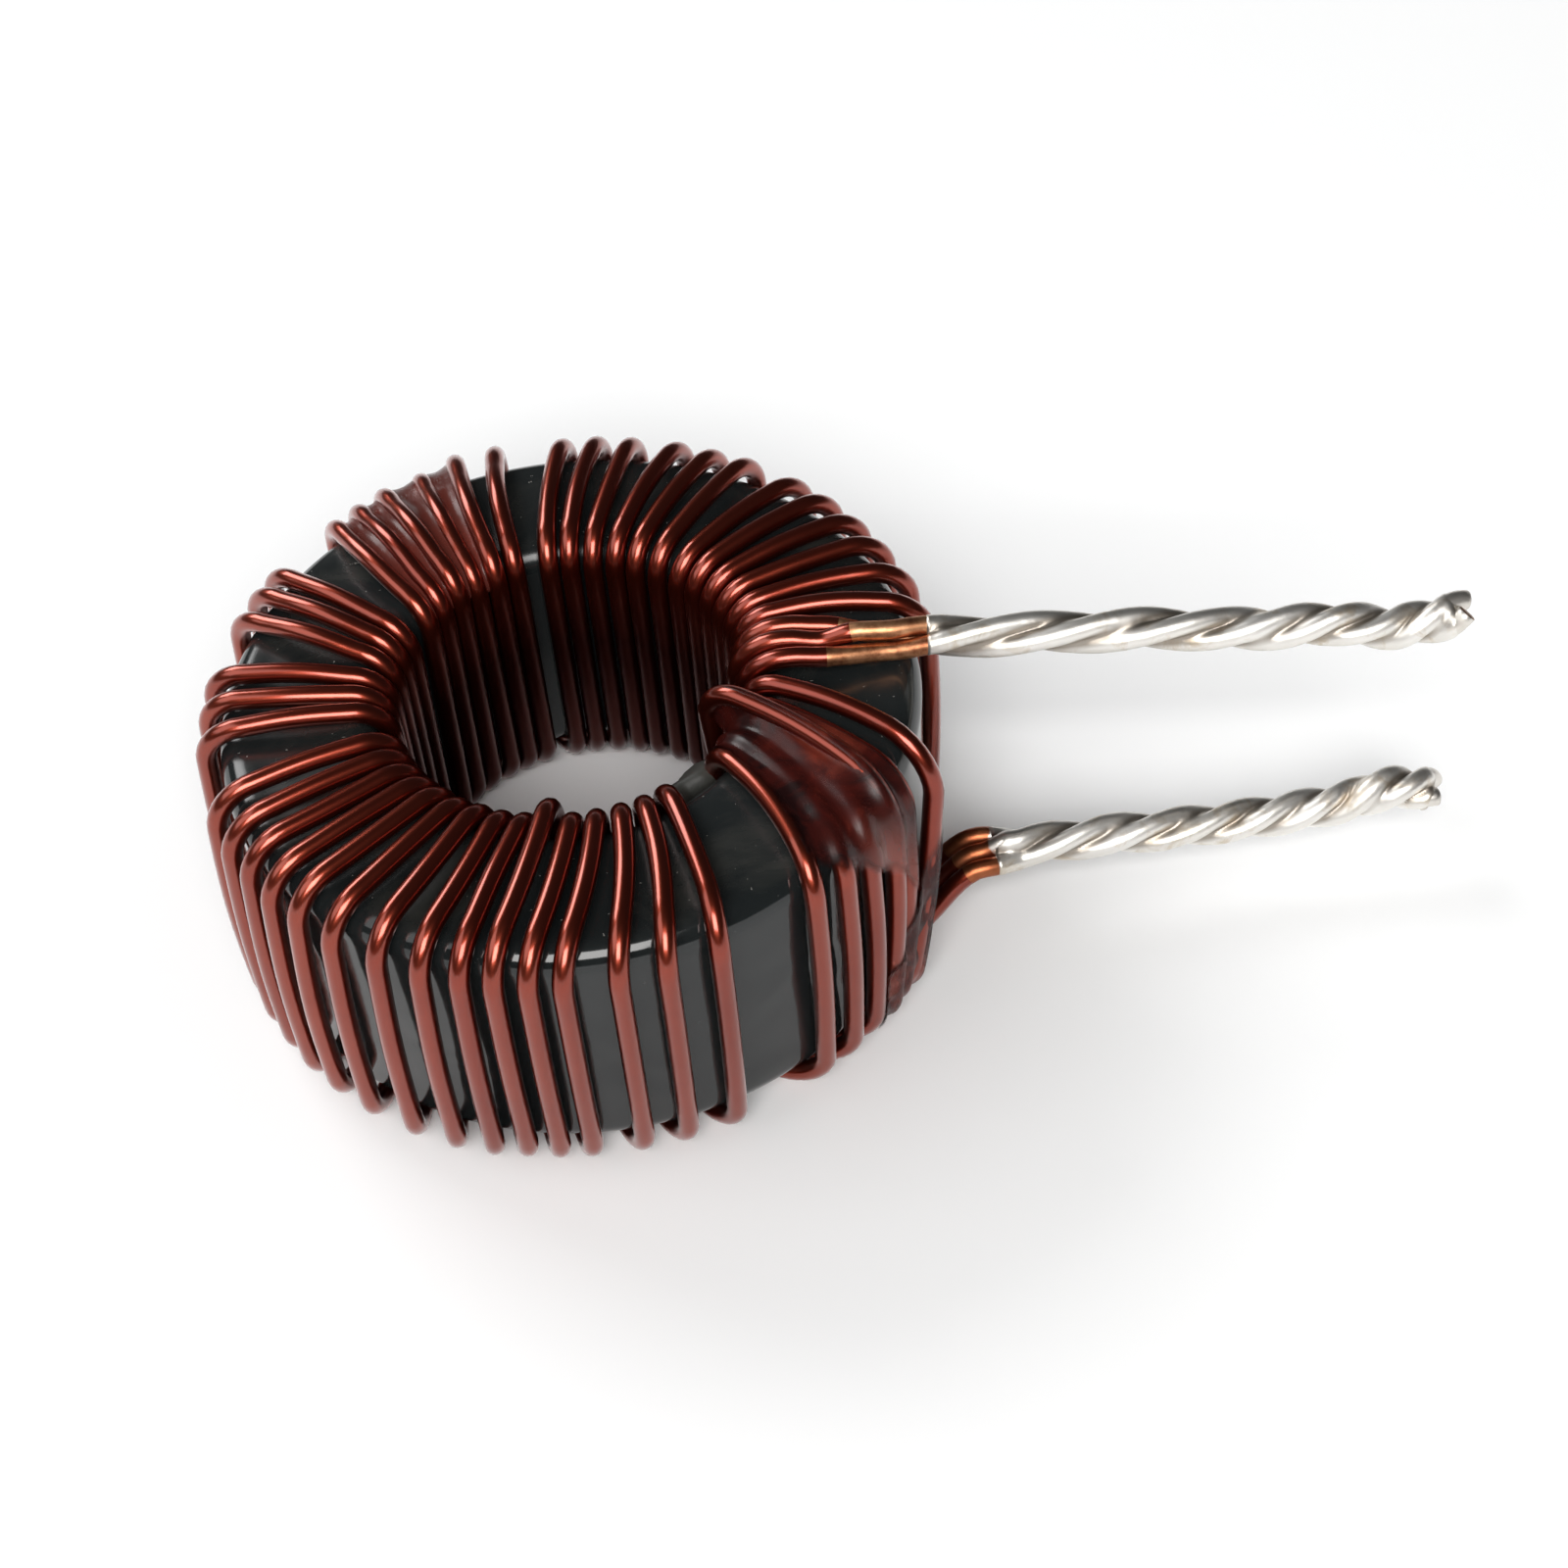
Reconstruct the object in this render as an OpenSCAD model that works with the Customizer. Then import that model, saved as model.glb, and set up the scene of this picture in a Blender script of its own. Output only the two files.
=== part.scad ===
// Toroidal inductor: a lacquered powder core ring wound with three enamelled copper
// wires side by side, whose two ends leave the ring as twisted, tinned leads.
// Millimetres. +Z is up and the leads run out along +X. The origin is on the axis of
// the ring, at the level of the underside of the winding that the part rests on.

/* [Core ring] */
// Outer diameter of the core ring with its lacquer
core_od = 26.9; // [26:0.1:32]
// Diameter of the hole through the core ring
core_id = 14.7; // [14.7:0.1:17]
// Height of the core ring
core_h = 11.2; // [9:0.1:16]
// Radius of the rounded edges of the core ring
core_edge_r = 1.0; // [0.6:0.1:1.5]

/* [Winding] */
// Diameter of one wire with its enamel
wire_d = 0.8; // [0.5:0.05:0.8]
// Space left between the wires and the lacquer of the core
seat_gap = 0.03; // [0.02:0.01:0.1]

/* [Leads] */
// Diameter of one wire in the leads, stripped of its enamel
bare_d = 0.76; // [0.5:0.02:0.78]
// Reach of the start lead beyond the core ring
start_reach = 20.4; // [14:0.2:30]
// Reach of the finish lead beyond the core ring
finish_reach = 20.2; // [14:0.2:30]
// Length of one full twist of the start lead by the ring; it tightens to the tip
start_pitch = 12.5; // [9:0.1:16]
// Length of one full twist of the finish lead by the ring; it tightens to the tip
finish_pitch = 8.6; // [7:0.1:12]
// Height of the finish lead above the underside of the core ring
finish_z = 2.5; // [1.6:0.1:4]

/* [Hidden] */

lacquer_black = [0.06, 0.06, 0.07];
enamel_red = [0.42, 0.13, 0.08];

// The core stands on the runs of wire below it
core_z = wire_d + seat_gap;

// Centre line of a wire that lies on the core, heights counted from the core's underside
lay = wire_d / 2 + seat_gap;
r_in = core_id / 2 - lay;
r_out = core_od / 2 + lay;
z_low = -lay;
z_top = core_h + lay;
bend_r = core_edge_r + lay;

// A wire that stands off from a face rounds the edge in a wider bend. These are the
// millimetres of radius gained for each one of stand-off.
top_gain = 0.8;
foot_gain = 0.8;
// Bow of the legs on the outer wall at half height
belly = 0.15;

// One row a turn, one value a wire, angles about the axis of the ring in degrees:
// place on the outer wall, place in the bore, stand-off from the outer wall at the top,
// lift over the top face, stand-off from the wall of the bore, shift of the foot of the
// leg in the bore and of the leg outside, and stand-off of the foot outside. Row 0 is
// the first pass, from the start lead.
turns = [
    [[0, 0, 0],             [-10.8, -3.8, 3.2],  [0, 0, 0],          [0.5, 0.6, 0.5],
        [0.3, 0.5, 0.3],    [0, 0, 0],           [0, 0, 0],          [0, 0, 0]],
    [[2, 11, 19],           [10, 17, 24],        [0.2, 0.2, 0.15],   [0.3, 0.15, 0.15],
        [0, 0, 0],          [0, 0, 0],           [0, 0, 0],          [0.1, 0.15, 0.1]],
    [[26, 33, 40],          [31, 38, 45],        [0.15, 0.15, 0.2],  [0.15, 0.2, 0.15],
        [0, 0, 0],          [0, 0, 0],           [0, 0, 0],          [0.1, 0.1, 0.2]],
    [[50, 56.5, 63],        [53, 61, 68],        [0.2, 0.15, 0.15],  [0.2, 0.15, 0.2],
        [0, 0, 0],          [0, 0, 0],           [0, 0, 0],          [0.2, 0.1, 0.1]],
    [[71.5, 77.5, 83.5],    [75.5, 83, 90],      [0.2, 0.2, 0.2],    [0.15, 0.2, 0.15],
        [0, 0, 0],          [0, 0, 0],           [0, 0, 0],          [0.2, 0.2, 0.2]],
    [[95.5, 102.5, 109.5],  [101, 108, 115],     [0.4, 0.6, 0.1],    [0.3, 0.35, 0.15],
        [0, 0.1, 0],        [0, 0, 0],           [0, 0, 0],          [0.3, 0.3, 0.1]],
    [[117, 122, 127],       [122, 129, 136],     [0, 0.1, 0.1],      [0.4, 0.15, 0.1],
        [0, 0, 0],          [1, 1.5, 2],         [0, 0, 0],          [0.1, 0.1, 0.1]],
    [[142, 147, 153],       [147, 154, 161],     [0.1, 0.1, 0.1],    [0.15, 0.2, 0.15],
        [0, 0, 0],          [2, 2, 2],           [0, 0, 0],          [0.2, 0.2, 0.3]],
    [[167, 173, 180],       [169, 176, 183],     [0.05, 0.05, 0.1],  [0.15, 0.15, 0.2],
        [0, 0, 0],          [4.5, 4.7, 4.8],     [0, 0, 0],          [0.3, 0.35, 0.4]],
    [[194.5, 201, 207],     [195, 202, 209],     [0.25, 0.25, 0.2],  [0.25, 0.2, 0.2],
        [0, 0, 0],          [0, 0, 0],           [0, 0, 0],          [0.45, 0.5, 0.5]],
    [[213, 219, 226],       [216, 223, 230],     [0.25, 0.2, 0.25],  [0.2, 0.25, 0.2],
        [0, 0, 0],          [0, 0, 0],           [0, 0, 0],          [0.55, 0.55, 0.55]],
    [[234, 241, 247],       [237, 244, 251],     [0.25, 0.25, 0.2],  [0.25, 0.2, 0.25],
        [0, 0, 0],          [0, 0, 0],           [0, 0, 0],          [0.55, 0.5, 0.4]],
    [[252, 257, 262],       [258, 265, 272],     [0.2, 0.2, 0.2],    [0.4, 0.25, 0.25],
        [0.6, 0, 0],        [0, 0, 0],           [0, 0, 0],          [0.2, 0.15, 0.1]],
    [[270, 277, 285],       [279, 286, 293],     [0.2, 0.25, 0.2],   [0.25, 0.25, 0.3],
        [0, 0, 0],          [2.8, 3.2, 3.6],     [0, 0, 0],          [0.05, 0.05, 0.05]],
    [[301.5, 307.5, 313],   [314, 321, 328],     [0.15, 0.2, 0.2],   [0.2, 0.15, 0.15],
        [0, 0, 0],          [-9.5, -9.5, -9.5],  [0, 0, 0],          [0.1, 0.15, 0.15]],
    [[319.5, 324, 330],     [331.5, 335.5, 342.2], [0.2, 0.15, 0.7], [0.7, 0.15, 0.4],
        [1.25, 0, 0],       [-5, -2.2, -1.3],    [-2.5, -3.5, -6],   [0.2, 0.1, 0.3]]
];
last = len(turns) - 1;

// Where each wire leaves the underside for the finish lead, in degrees
leave_az = [334.5, 340.5, 346.5];
leave_r = r_out - 0.4;

// Places of the three wires in a lead: side by side where they leave the ring, then in
// a triangle that is twisted to the left
lead_side = [-1.05, 0, 1.05] * wire_d;
lead_corner = [210, 90, 330];

// Each lead: first point, last point, twist by the ring, twist at the tip, straight
// length before the twist, length over which the wires close up, rings along it, how
// much shorter each wire is cut, and dips or rises of its axis as place along it, half
// width and height, the first two as shares of its length
start_lead = [
    [core_id / 2 + 2.8 * wire_d, -0.85, core_h + 1.05 * wire_d],
    [core_od / 2 + start_reach, -4.6, core_h + 0.35 * wire_d],
    start_pitch, 0.35 * start_pitch, 3.5 * wire_d, 3.75 * wire_d, 36, [0, 0.25, 0.1],
    [[0.68, 0.2, -0.2], [0.885, 0.1, -0.4], [1.03, 0.08, 0.4]]
];
finish_lead = [
    [core_od / 2 + 2 * wire_d, -4.6, finish_z + 0.1],
    [core_od / 2 + finish_reach, -5.2, finish_z - 0.1],
    finish_pitch, 0.47 * finish_pitch, 1.9 * wire_d, 2.75 * wire_d, 32, [0.2, 0, 0.3],
    [[0.55, 0.35, -0.25], [0.9, 0.12, 0.45], [1.06, 0.1, -1]]
];

sides = 8;
step = 360 / sides;
// Angles along a bend, from the wall towards the flat face
foot_bend = [22.5, 67.5];
top_bend = [15, 45, 75];

function unit(v) = v / norm(v);
function polar(r, az, z) = [r * cos(az), r * sin(az), z];
function smooth(t) = let (u = min(1, max(0, t))) u * u * (3 - 2 * u);
function backwards(list) = [for (i = [len(list) - 1:-1:0]) list[i]];
function bump(t) = abs(t) < 1 ? (1 + cos(180 * t)) / 2 : 0;
function wave(u, rows) =
    [for (r = rows) r[2] * bump((u - r[0]) / r[1])] * [for (r = rows) 1];

// Bend of radius br about (rc, zc) in the radial plane, on the side that out and up
// give as +1 or -1. The angle about the axis runs evenly from a0 at r0 to a1 at r1.
function bend(rc, zc, br, angles, out, up, r0, a0, r1, a1) =
    let (k = br / cos((angles[1] - angles[0]) / 2))
    [for (an = angles)
        let (r = rc + out * k * cos(an),
             z = zc + up * k * sin(an),
             t = (min(max(r, r0), r1) - r0) / (r1 - r0))
        polar(r, a0 + (a1 - a0) * t, z)];

// Run under the core from the bore to the outer wall
function inner_foot(s, t, r1, a1) =
    let (a0 = turns[t][1][s] + turns[t][5][s])
    bend(r_in + bend_r, z_low + bend_r, bend_r, foot_bend, -1, -1, r_in, a0, r1, a1);

// One turn of wire s: under the core, up the outer wall, over the top, into the bore
function one_turn(s, t) =
    let (row = turns[t],
         stand = row[2][s],
         lift = row[3][s],
         tuck = row[4][s],
         a_top = row[0][s],
         a_foot = a_top + row[6][s],
         a_bore = row[1][s],
         a_prev = turns[t - 1][1][s] + turns[t - 1][5][s],
         r_foot = r_out + row[7][s],
         r_leg = r_out + stand,
         r_bore = r_in - tuck,
         drop = tuck < 0.65 ? lift : 0.95,
         foot_r = bend_r + foot_gain * row[7][s],
         top_r = bend_r + top_gain * (stand + lift))
    concat(
        inner_foot(s, t - 1, r_foot, a_foot),
        bend(r_foot - foot_r, z_low + foot_r, foot_r, backwards(foot_bend), 1, -1,
            r_in, a_prev, r_foot, a_foot),
        [polar((r_foot + r_leg) / 2 + belly, (a_foot + a_top) / 2,
            (z_low + foot_r + z_top + lift - top_r) / 2)],
        bend(r_leg - top_r, z_top + lift - top_r, top_r, top_bend, 1, 1,
            r_bore, a_bore, r_leg, a_top),
        bend(r_bore + bend_r, z_top + drop - bend_r, bend_r, backwards(top_bend), -1, 1,
            r_bore, a_bore, r_leg, a_top));

// Rings of wire s along a lead, each as centre, sideways direction and diameter
function lead_rings(s, lead) =
    let (p = lead[0],
         len_l = norm(lead[1] - p),
         ex = unit(lead[1] - p),
         ey = unit(cross([0, 0, 1], ex)),
         ez = cross(ex, ey),
         gain = 1 / lead[3] - 1 / lead[2],
         n = lead[6])
    [for (i = [0:n])
        let (v = i / n,
             x = (len_l - lead[7][s]) * (1.35 * v - 0.35 * v * v),
             u = x / len_l,
             xt = max(0, x - lead[4]),
             w = pow(xt / (len_l - lead[4]), 3),
             tw = -360 * xt * (1 / lead[2] + gain * w / 4),
             dia = wire_d + (bare_d - wire_d) * smooth(x / (1.9 * wire_d)),
             rr = dia / sqrt(3) * (1 + 3.4 * pow(dia * (1 / lead[2] + gain * w), 2)) + 0.02,
             g = x / lead[5],
             k = smooth(s == 1 ? 2 * g : g),
             y0 = lead_side[s] + (rr * cos(lead_corner[s]) - lead_side[s]) * k,
             z0 = rr * sin(lead_corner[s]) * k,
             slope = (wave(u + 0.001, lead[8]) - wave(u - 0.001, lead[8])) / (0.002 * len_l),
             up = unit(ez - ex * slope))
        [p + ex * x + ez * wave(u, lead[8]) + ey * (y0 * cos(tw) - z0 * sin(tw))
            + up * (y0 * sin(tw) + z0 * cos(tw)), [0, 1, 0], dia]];

// First bend of wire s, from the start lead down into the bore
function first_bend(s, p) =
    let (br = bend_r + 0.4,
         r_bore = r_in - turns[0][4][s])
    bend(r_bore + br, z_top + turns[0][3][s] - br, br, backwards(top_bend), -1, 1,
        r_bore, turns[0][1][s], norm([p.x, p.y]), atan2(p.y, p.x));

function wound_rings(path) = [for (p = path) [p, unit([-p.y, p.x, 0]), wire_d]];

function strand_rings(s) =
    let (start_r = backwards(lead_rings(s, start_lead)))
    concat(
        start_r,
        wound_rings(concat(
            first_bend(s, start_r[len(start_r) - 1][0]),
            [for (t = [1:last]) each one_turn(s, t)],
            inner_foot(s, last, leave_r, leave_az[s]),
            [polar(leave_r, leave_az[s], z_low)])),
        lead_rings(s, finish_lead));

// Round wire along the rings
module wire(rings) {
    n = len(rings);
    dirs = [for (i = [0:n - 2]) unit(rings[i + 1][0] - rings[i][0])];
    points = [for (i = [0:n - 1])
        let (t = unit(dirs[max(i - 1, 0)] + dirs[min(i, n - 2)]),
             w = rings[i][1],
             u = unit(w - t * (w * t)),
             v = cross(t, u))
        for (k = [0:sides - 1])
            rings[i][0] + (u * cos(k * step) + v * sin(k * step)) * rings[i][2] / 2];
    walls = [for (i = [0:n - 2], k = [0:sides - 1])
        let (a = i * sides + k,
             b = i * sides + (k + 1) % sides)
        each [[a, a + sides, b + sides], [a, b + sides, b]]];
    ends = [for (k = [1:sides - 2])
        let (e = (n - 1) * sides)
        each [[0, k, k + 1], [e, e + k + 1, e + k]]];
    translate([0, 0, core_z])
        polyhedron(points, concat(walls, ends), convexity = 20);
}

// Core ring: a rounded rectangle turned about the axis
module core() {
    wall = (core_od - core_id) / 2;
    color(lacquer_black)
    translate([0, 0, core_z])
    rotate_extrude($fn = 144)
    translate([core_id / 2, 0]) {
        translate([core_edge_r, 0]) square([wall - 2 * core_edge_r, core_h]);
        translate([0, core_edge_r]) square([wall, core_h - 2 * core_edge_r]);
        for (x = [core_edge_r, wall - core_edge_r], y = [core_edge_r, core_h - core_edge_r])
            translate([x, y]) circle(core_edge_r, $fn = 32);
    }
}

module strand_1() { color(enamel_red) wire(strand_rings(0)); }
module strand_2() { color(enamel_red) wire(strand_rings(1)); }
module strand_3() { color(enamel_red) wire(strand_rings(2)); }

core();
strand_1();
strand_2();
strand_3();
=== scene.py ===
"""Looks of the toroidal inductor: a lacquered powder core wound with three enamelled copper
wires, whose ends leave as twisted, tinned leads. Lengths are in millimetres from the middle of
the core's underside, as in the CAD source, and new_piece lifts them and turns them into metres."""
import bpy
import math
import random
import numpy as np
from mathutils import Matrix, Vector


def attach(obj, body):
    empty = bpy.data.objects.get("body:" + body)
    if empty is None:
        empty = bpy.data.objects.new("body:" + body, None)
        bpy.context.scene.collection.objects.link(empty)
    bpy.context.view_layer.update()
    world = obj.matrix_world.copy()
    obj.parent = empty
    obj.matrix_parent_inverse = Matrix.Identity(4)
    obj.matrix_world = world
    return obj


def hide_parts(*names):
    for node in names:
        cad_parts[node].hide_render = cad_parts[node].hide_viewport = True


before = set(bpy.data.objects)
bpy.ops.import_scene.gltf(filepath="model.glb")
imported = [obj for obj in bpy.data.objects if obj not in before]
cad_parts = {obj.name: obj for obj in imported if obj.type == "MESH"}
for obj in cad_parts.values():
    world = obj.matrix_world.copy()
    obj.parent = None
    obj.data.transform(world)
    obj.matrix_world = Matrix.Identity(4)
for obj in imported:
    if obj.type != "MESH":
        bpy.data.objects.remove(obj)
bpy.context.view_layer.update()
MM = 0.001
rng = random.Random(7)

# ---------------------------------------------------------------- sizes, as in the CAD source
CORE_OD, CORE_ID, CORE_H, EDGE_R = 26.9, 14.7, 11.2, 1.0
WIRE_D, BARE_D, GAP, LEAD_GAP = 0.8, 0.76, 0.03, 0.02
START_REACH, FINISH_REACH = 20.4, 20.2
START_PITCH, FINISH_PITCH, FINISH_Z = 12.5, 8.6, 2.5

CORE_Z = WIRE_D + GAP
LAY = WIRE_D / 2 + GAP
R_IN, R_OUT = CORE_ID / 2 - LAY, CORE_OD / 2 + LAY
Z_LOW, Z_TOP = -LAY, CORE_H + LAY
BEND_R = EDGE_R + LAY
BENDS = [i * 11.25 for i in range(9)]

TOP_GAIN, FOOT_GAIN, BELLY = 0.8, 0.8, 0.15

# One row a turn, one value a wire: outer wall, bore, stand-off, lift, stand-off in the
# bore, shift of the foot in the bore and of the foot outside, stand-off of that foot
TURNS = [
    [[0, 0, 0], [-10.8, -3.8, 3.2], [0, 0, 0], [0.5, 0.6, 0.5],
     [0.3, 0.5, 0.3], [0, 0, 0], [0, 0, 0], [0, 0, 0]],
    [[2, 11, 19], [10, 17, 24], [0.2, 0.2, 0.15], [0.3, 0.15, 0.15],
     [0, 0, 0], [0, 0, 0], [0, 0, 0], [0.1, 0.15, 0.1]],
    [[26, 33, 40], [31, 38, 45], [0.15, 0.15, 0.2], [0.15, 0.2, 0.15],
     [0, 0, 0], [0, 0, 0], [0, 0, 0], [0.1, 0.1, 0.2]],
    [[50, 56.5, 63], [53, 61, 68], [0.2, 0.15, 0.15], [0.2, 0.15, 0.2],
     [0, 0, 0], [0, 0, 0], [0, 0, 0], [0.2, 0.1, 0.1]],
    [[71.5, 77.5, 83.5], [75.5, 83, 90], [0.2, 0.2, 0.2], [0.15, 0.2, 0.15],
     [0, 0, 0], [0, 0, 0], [0, 0, 0], [0.2, 0.2, 0.2]],
    [[95.5, 102.5, 109.5], [101, 108, 115], [0.4, 0.6, 0.1], [0.3, 0.35, 0.15],
     [0, 0.1, 0], [0, 0, 0], [0, 0, 0], [0.3, 0.3, 0.1]],
    [[117, 122, 127], [122, 129, 136], [0, 0.1, 0.1], [0.4, 0.15, 0.1],
     [0, 0, 0], [1, 1.5, 2], [0, 0, 0], [0.1, 0.1, 0.1]],
    [[142, 147, 153], [147, 154, 161], [0.1, 0.1, 0.1], [0.15, 0.2, 0.15],
     [0, 0, 0], [2, 2, 2], [0, 0, 0], [0.2, 0.2, 0.3]],
    [[167, 173, 180], [169, 176, 183], [0.05, 0.05, 0.1], [0.15, 0.15, 0.2],
     [0, 0, 0], [4.5, 4.7, 4.8], [0, 0, 0], [0.3, 0.35, 0.4]],
    [[194.5, 201, 207], [195, 202, 209], [0.25, 0.25, 0.2], [0.25, 0.2, 0.2],
     [0, 0, 0], [0, 0, 0], [0, 0, 0], [0.45, 0.5, 0.5]],
    [[213, 219, 226], [216, 223, 230], [0.25, 0.2, 0.25], [0.2, 0.25, 0.2],
     [0, 0, 0], [0, 0, 0], [0, 0, 0], [0.55, 0.55, 0.55]],
    [[234, 241, 247], [237, 244, 251], [0.25, 0.25, 0.2], [0.25, 0.2, 0.25],
     [0, 0, 0], [0, 0, 0], [0, 0, 0], [0.55, 0.5, 0.4]],
    [[252, 257, 262], [258, 265, 272], [0.2, 0.2, 0.2], [0.4, 0.25, 0.25],
     [0.6, 0, 0], [0, 0, 0], [0, 0, 0], [0.2, 0.15, 0.1]],
    [[270, 277, 285], [279, 286, 293], [0.2, 0.25, 0.2], [0.25, 0.25, 0.3],
     [0, 0, 0], [2.8, 3.2, 3.6], [0, 0, 0], [0.05, 0.05, 0.05]],
    [[301.5, 307.5, 313], [314, 321, 328], [0.15, 0.2, 0.2], [0.2, 0.15, 0.15],
     [0, 0, 0], [-9.5, -9.5, -9.5], [0, 0, 0], [0.1, 0.15, 0.15]],
    [[319.5, 324, 330], [331.5, 335.5, 342.2], [0.2, 0.15, 0.7], [0.7, 0.15, 0.4],
     [1.25, 0, 0], [-5, -2.2, -1.3], [-2.5, -3.5, -6], [0.2, 0.1, 0.3]],
]
LOOSE_TURNS = (5, 6, 7)
LEAVE_AZ = [334.5, 340.5, 346.5]
LEAVE_R = R_OUT - 0.4
LEAD_SIDE = [-1.05 * WIRE_D, 0, 1.05 * WIRE_D]
LEAD_CORNER = [210, 90, 330]
START_LEAD = dict(
    a=(CORE_ID / 2 + 2.8 * WIRE_D, -0.85, CORE_H + 1.05 * WIRE_D),
    b=(CORE_OD / 2 + START_REACH, -4.6, CORE_H + 0.35 * WIRE_D),
    p0=START_PITCH, p1=0.35 * START_PITCH, flat=3.5 * WIRE_D, gather=3.75 * WIRE_D,
    trim=[0, 0.25, 0.1], wave=[(0.68, 0.2, -0.2), (0.885, 0.1, -0.4), (1.03, 0.08, 0.4)])
FINISH_LEAD = dict(
    a=(CORE_OD / 2 + 2 * WIRE_D, -4.6, FINISH_Z + 0.1),
    b=(CORE_OD / 2 + FINISH_REACH, -5.2, FINISH_Z - 0.1),
    p0=FINISH_PITCH, p1=0.47 * FINISH_PITCH, flat=1.9 * WIRE_D, gather=2.75 * WIRE_D,
    trim=[0.2, 0, 0.3], wave=[(0.55, 0.35, -0.25), (0.9, 0.12, 0.45), (1.06, 0.1, -1)])

# ---------------------------------------------------------------- sizes that only the looks have
WIRE_SIDES, START_STEPS, FINISH_STEPS = 20, 130, 110
STRIP_X = [0.35, 1.3, 0.8]              # where the enamel ends in the start lead, for each wire
START_TIN, FINISH_TIN = (3.9, 0.8), (0.1, 0.7)  # where tin begins on the wires, and how gradually
CUT_DOME, CUT_SHARE = 0.04, 0.82        # height and width of the dome on a cut end
CORE_STEPS, CORNER_STEPS, WALL_STEPS, FACE_STEPS = 320, 12, 26, 14
COAT_SINK, COAT_SWELL = 0.012, 0.02     # the lacquer's mean and its waves, from the CAD surface
VARNISH_ROWS, VARNISH_COLS = 64, 9      # points along a skin, and from one wire to the next
VARNISH_THICK, VARNISH_ROOT = 0.05, 0.02
ADHESIVE_AZ, ADHESIVE_STEPS, ADHESIVE_SIDES = (290.0, 326.0), 40, 26
SOLDER_SIDES, SOLDER_SKIN, SOLDER_SINK, SOLDER_LUMP = 54, 0.03, 0.012, 0.022
SOLDER_FILL, SOLDER_FILL_WAVE, SOLDER_FILL_MIN = 0.10, 0.05, 0.045
SOLDER_TIP = 0.25                       # length over which the solder rounds off at the tip
PHASES = 6.28                           # phases of waves are drawn from 0 to this
FLOOR_HALF, FLOOR_CELLS = 3000.0, 24


# ---------------------------------------------------------------- paths of the wires
def smooth(t):
    """Soft step from 0 to 1 while t goes from 0 to 1."""
    t = min(1.0, max(0.0, t))
    return t * t * (3 - 2 * t)


def bump(t):
    """Hump of height 1 at 0, which ends at -1 and 1."""
    return (1 + math.cos(math.pi * t)) / 2 if abs(t) < 1 else 0.0


def polar(r, az, z):
    a = math.radians(az)
    return np.array([r * math.cos(a), r * math.sin(a), z])


def unit(v):
    return v / np.linalg.norm(v)


def arc(rc, zc, br, angles, out, up, r0, a0, r1, a1):
    """Bend in the radial plane about (rc, zc); the azimuth runs evenly from a0 at r0 to a1 at r1."""
    pts = []
    for an in angles:
        r = rc + out * br * math.cos(math.radians(an))
        z = zc + up * br * math.sin(math.radians(an))
        t = (min(max(r, r0), r1) - r0) / (r1 - r0)
        pts.append(polar(r, a0 + (a1 - a0) * t, z))
    return pts


def run(r_a, z_a, r_b, z_b, n, r0, a0, r1, a1, crown=0.0, side=0.0):
    """Straight run over a flat face, between two bends, with a slight crown and sideways bow."""
    pts = []
    for i in range(1, n):
        t = i / n
        r = r_a + (r_b - r_a) * t
        z = z_a + (z_b - z_a) * t + crown * math.sin(math.pi * t)
        u = (min(max(r, r0), r1) - r0) / (r1 - r0)
        az = a0 + (a1 - a0) * u + math.degrees(side * math.sin(math.pi * t) / r)
        pts.append(polar(r, az, z))
    return pts


def leg(r_a, az_a, z_a, r_b, az_b, z_b, n, out=0.0):
    """Run along the outer wall or the wall of the bore, bowed outwards."""
    pts = []
    for i in range(1, n):
        t = i / n
        pts.append(polar(r_a + (r_b - r_a) * t + out * math.sin(math.pi * t),
                         az_a + (az_b - az_a) * t, z_a + (z_b - z_a) * t))
    return pts


def hermite(p0, t0, p1, t1, n):
    """Inner points of a curve from p0 to p1 that leaves along t0 and arrives along t1."""
    pts = []
    for i in range(1, n):
        t = i / n
        pts.append((2 * t ** 3 - 3 * t * t + 1) * p0 + (t ** 3 - 2 * t * t + t) * t0
                   + (3 * t * t - 2 * t ** 3) * p1 + (t ** 3 - t * t) * t1)
    return pts


def lead_axis(lead):
    """Start of a lead's axis, its length, and the directions along, across and up."""
    a, b = np.array(lead["a"]), np.array(lead["b"])
    length = np.linalg.norm(b - a)
    ex = (b - a) / length
    ey = unit(np.cross((0, 0, 1), ex))
    return a, length, ex, ey, np.cross(ex, ey)


def lead_wave(lead, u):
    """How far a lead bends away from its axis at share u of its length."""
    return sum(height * bump((u - middle) / width) for middle, width, height in lead["wave"])


def lead_at(lead, x):
    """Centre at x along a lead, directions across and up, twist in radians and turns for a mm."""
    a, length, ex, ey, ez = lead_axis(lead)
    u = x / length
    gain = 1 / lead["p1"] - 1 / lead["p0"]
    xt = max(0.0, x - lead["flat"])
    w = (xt / (length - lead["flat"])) ** 3
    slope = (lead_wave(lead, u + 0.001) - lead_wave(lead, u - 0.001)) / (0.002 * length)
    return (a + ex * x + ez * lead_wave(lead, u), ey, unit(ez - ex * slope),
            -2 * math.pi * xt * (1 / lead["p0"] + gain * w / 4), 1 / lead["p0"] + gain * w)


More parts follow.
